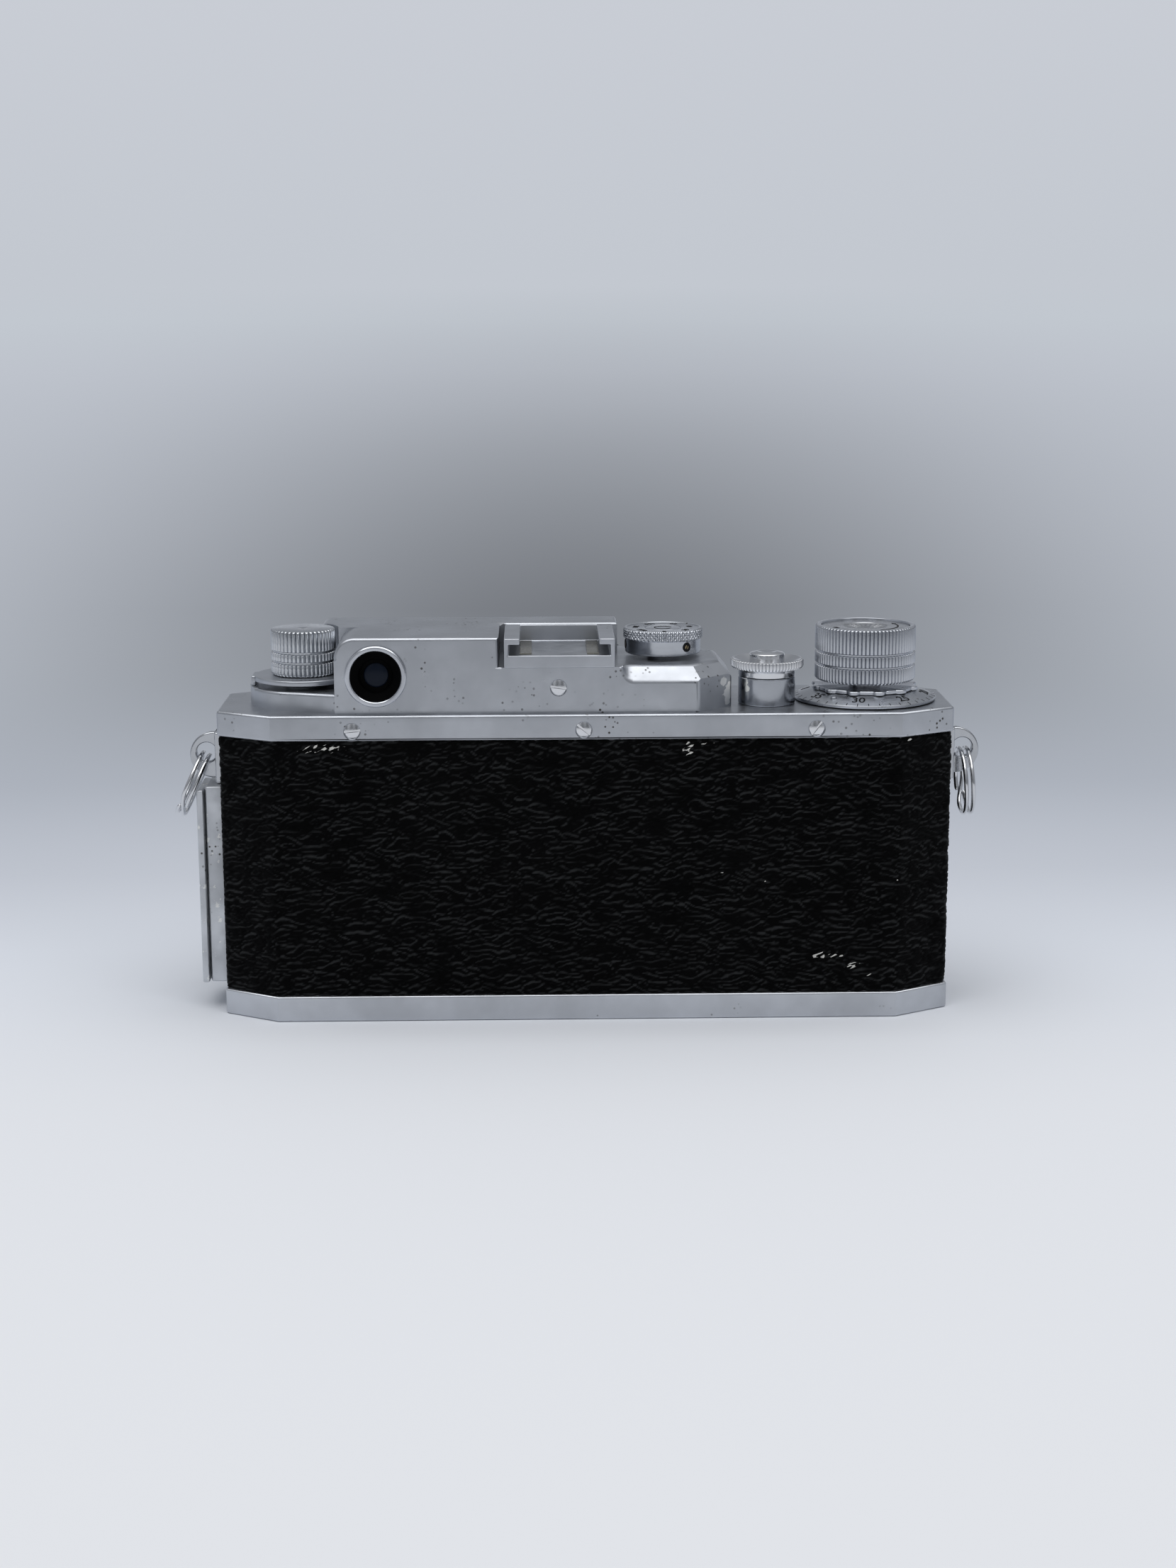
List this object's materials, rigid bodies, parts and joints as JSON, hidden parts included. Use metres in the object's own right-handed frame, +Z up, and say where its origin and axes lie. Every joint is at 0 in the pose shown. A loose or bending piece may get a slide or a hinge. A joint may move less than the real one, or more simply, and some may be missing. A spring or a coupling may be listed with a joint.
{
  "type": "film camera",
  "caption": "Rangefinder 35 mm film camera with screw lens, corner-cut body, wrinkled covering, accessory shoe, knurled knobs and dials on top.",
  "frame": {"origin": "middle of the base plate's underside", "axes": "+X towards the viewer's right, +Y forward along the lens axis, +Z up"},
  "size_m": [0.1534, 0.0612, 0.0727],
  "materials": {
    "satin_chrome": "fine satin chrome plating on brass",
    "bright_chrome": "polished chrome plating",
    "covering": "wrinkled black covering, slightly glossy",
    "casting_metal": "die-cast, as cast",
    "black_paint": "matte black paint",
    "brass": "turned brass",
    "steel": "ground steel",
    "light_alloy": "satin aluminium alloy",
    "curtain_cloth": "rubberised black silk",
    "clear_glass": "polished glass",
    "lens_coating": "coated optical glass",
    "insulator": "black moulding"
  },
  "bodies": {
    "camera": {"body_casting": "casting_metal", "rear_covering": "covering", "front_covering": "covering", "top_plate": "satin_chrome", "top_housing": "satin_chrome", "cover_screws": "bright_chrome", "eyepiece_bezel": "bright_chrome", "eyepiece_lens": "clear_glass", "finder_window": "clear_glass", "rangefinder_window": "clear_glass", "accessory_shoe": "satin_chrome", "shoe_springs": "steel", "mechanism_plate": "brass", "shutter_crate": "black_paint", "film_gate": "black_paint", "opening_curtain": "curtain_cloth", "closing_curtain": "curtain_cloth", "lens_flange": "bright_chrome", "flange_screws": "bright_chrome", "strap_lug_left": "bright_chrome", "strap_lug_right": "bright_chrome", "flash_rail": "satin_chrome", "flash_contacts": "insulator", "beam_splitter": "clear_glass", "rangefinder_prism": "clear_glass", "release_tower": "satin_chrome", "slow_dial_boss": "satin_chrome", "release_spring": "steel"},
    "rewind": {"rewind_knob": "satin_chrome", "rewind_shaft": "steel"},
    "finder_lever": {"finder_lever": "satin_chrome"},
    "finder_turret": {"finder_turret": "black_paint"},
    "speed_spindle": {"speed_spindle": "steel"},
    "speed_dial": {"speed_dial": "satin_chrome", "speed_dial_screws": "brass"},
    "release_button": {"release_button": "bright_chrome"},
    "release_collar": {"release_collar": "satin_chrome"},
    "advance": {"advance_knob": "satin_chrome", "advance_shaft": "steel"},
    "film_reminder": {"film_reminder_disc": "satin_chrome"},
    "counter": {"counter_dial": "satin_chrome", "counter_ring": "satin_chrome"},
    "idler": {"idler_gear": "brass"},
    "sprocket": {"sprocket_drum": "light_alloy"},
    "take_up": {"take_up_spool": "black_paint"},
    "pressure_plate": {"pressure_plate": "black_paint"},
    "shutter_drum": {"shutter_drum": "light_alloy"},
    "spring_roller": {"spring_roller": "light_alloy"},
    "slow_speed": {"slow_speed_dial": "satin_chrome"},
    "rangefinder_arm": {"rangefinder_arm": "steel"},
    "lens": {"lens_barrel": "light_alloy"},
    "focus": {"focus_ring": "light_alloy"},
    "infinity_catch": {"infinity_catch": "bright_chrome"},
    "lens_head": {"lens_head": "light_alloy", "lens_glass": "lens_coating"},
    "aperture": {"aperture_ring": "light_alloy"},
    "base": {"base_plate": "satin_chrome"},
    "base_key": {"base_key": "bright_chrome"},
    "ring_left": {"split_ring_left": "bright_chrome"},
    "ring_right": {"split_ring_right": "bright_chrome"}
  },
  "joints": [
    {"name": "rewind_turn", "type": "hinge", "parent": "camera", "child": "rewind", "pos_m": [-0.0532, 0, 0.068], "axis": [0, 0, 1], "continuous": true},
    {"name": "finder_lever_turn", "type": "hinge", "parent": "camera", "child": "finder_lever", "pos_m": [-0.0532, 0, 0.0634], "axis": [0, 0, 1], "range_deg": [-35, 35]},
    {"name": "finder_turret_turn", "type": "hinge", "parent": "camera", "child": "finder_turret", "pos_m": [-0.0388, -0.0025, 0.0655], "axis": [0, 0, 1], "range_deg": [-60, 60]},
    {"name": "speed_setting", "type": "hinge", "parent": "camera", "child": "speed_spindle", "pos_m": [0.0147, 0, 0.062], "axis": [0, 0, 1], "range_deg": [-150, 150]},
    {"name": "speed_dial_lift", "type": "slide", "parent": "speed_spindle", "child": "speed_dial", "axis": [0, 0, 1], "range_m": [0, 0.0015], "stiffness_N_per_m": 300, "springref_m": -0.002},
    {"name": "release_press", "type": "slide", "parent": "camera", "child": "release_button", "axis": [0, 0, -1], "range_m": [0, 0.002], "stiffness_N_per_m": 400, "springref_m": -0.001, "deforming": ["release_spring"]},
    {"name": "release_collar_turn", "type": "hinge", "parent": "camera", "child": "release_collar", "pos_m": [0.0341, -0.004, 0.066], "axis": [0, 0, 1], "range_deg": [0, 50]},
    {"name": "advance_turn", "type": "hinge", "parent": "camera", "child": "advance", "pos_m": [0.0531, 0, 0.067], "axis": [0, 0, 1], "continuous": true},
    {"name": "film_reminder_turn", "type": "hinge", "parent": "advance", "child": "film_reminder", "pos_m": [0.0531, 0, 0.072], "axis": [0, 0, 1], "continuous": true},
    {"name": "counter_turn", "type": "hinge", "parent": "camera", "child": "counter", "pos_m": [0.0531, 0, 0.059], "axis": [0, 0, 1], "continuous": true},
    {"name": "idler_turn", "type": "hinge", "parent": "camera", "child": "idler", "pos_m": [0.04119, -0.00147, 0.0535], "axis": [0, 0, 1], "continuous": true},
    {"name": "sprocket_turn", "type": "hinge", "parent": "camera", "child": "sprocket", "pos_m": [0.03, -0.0058, 0.029], "axis": [0, 0, 1], "continuous": true},
    {"name": "take_up_turn", "type": "hinge", "parent": "camera", "child": "take_up", "pos_m": [0.0531, 0, 0.028], "axis": [0, 0, 1], "continuous": true},
    {"name": "pressure_plate_give", "type": "slide", "parent": "camera", "child": "pressure_plate", "axis": [0, -1, 0], "range_m": [0, 0.0005], "stiffness_N_per_m": 800, "springref_m": -0.0005},
    {"name": "shutter_wind", "type": "hinge", "parent": "camera", "child": "shutter_drum", "pos_m": [0.027, 0.0036, 0.029], "axis": [0, 0, 1], "range_deg": [0, 270]},
    {"name": "spring_roller_turn", "type": "hinge", "parent": "camera", "child": "spring_roller", "pos_m": [-0.028, 0.002, 0.029], "axis": [0, 0, 1], "range_deg": [0, 230]},
    {"name": "slow_speed_turn", "type": "hinge", "parent": "camera", "child": "slow_speed", "pos_m": [0.033, 0.0175, 0.044], "axis": [0, 1, 0], "range_deg": [0, 150]},
    {"name": "rangefinder_arm_swing", "type": "hinge", "parent": "camera", "child": "rangefinder_arm", "pos_m": [0.014, 0.0094, 0.05], "axis": [0, 0, -1], "range_deg": [0, 14]},
    {"name": "lens_removal", "type": "slide", "parent": "camera", "child": "lens", "axis": [0, 1, 0], "range_m": [0, 0.03]},
    {"name": "focusing", "type": "hinge", "parent": "lens", "child": "focus", "pos_m": [0, 0.026, 0.029], "axis": [0, 1, 0], "range_deg": [0, 180]},
    {"name": "infinity_catch_press", "type": "slide", "parent": "focus", "child": "infinity_catch", "axis": [-0.9063, 0, 0.4226], "range_m": [0, 0.0008], "stiffness_N_per_m": 300, "springref_m": -0.001},
    {"name": "lens_head_travel", "type": "slide", "parent": "lens", "child": "lens_head", "axis": [0, 1, 0], "range_m": [0, 0.00264]},
    {"name": "aperture_setting", "type": "hinge", "parent": "lens_head", "child": "aperture", "pos_m": [0, 0.039, 0.029], "axis": [0, 1, 0], "range_deg": [0, 120]},
    {"name": "base_removal", "type": "slide", "parent": "camera", "child": "base", "axis": [0, 0, -1], "range_m": [0, 0.04]},
    {"name": "base_lock", "type": "hinge", "parent": "base", "child": "base_key", "pos_m": [-0.0532, 0, 0.001], "axis": [0, 0, 1], "range_deg": [0, 180]},
    {"name": "ring_left_swing", "type": "hinge", "parent": "camera", "child": "ring_left", "pos_m": [-0.0722, 0, 0.0485], "axis": [0, 1, 0], "range_deg": [0, 70]},
    {"name": "ring_right_swing", "type": "hinge", "parent": "camera", "child": "ring_right", "pos_m": [0.0723, 0, 0.0486], "axis": [0, -1, 0], "range_deg": [-10, 80]}
  ],
  "couplings": [
    {"joint": "finder_turret_turn", "follows": "finder_lever_turn", "ratio": -1.7143},
    {"joint": "idler_turn", "follows": "advance_turn", "ratio": -1},
    {"joint": "sprocket_turn", "follows": "advance_turn", "ratio": 1},
    {"joint": "take_up_turn", "follows": "advance_turn", "ratio": 1},
    {"joint": "counter_turn", "follows": "advance_turn", "ratio": 0.025},
    {"joint": "spring_roller_turn", "follows": "shutter_wind", "ratio": 0.82857},
    {"joint": "rangefinder_arm_swing", "follows": "focusing", "ratio": 0.076105},
    {"joint": "lens_head_travel", "follows": "focusing", "m_per_rad": 0.00083716}
  ]
}
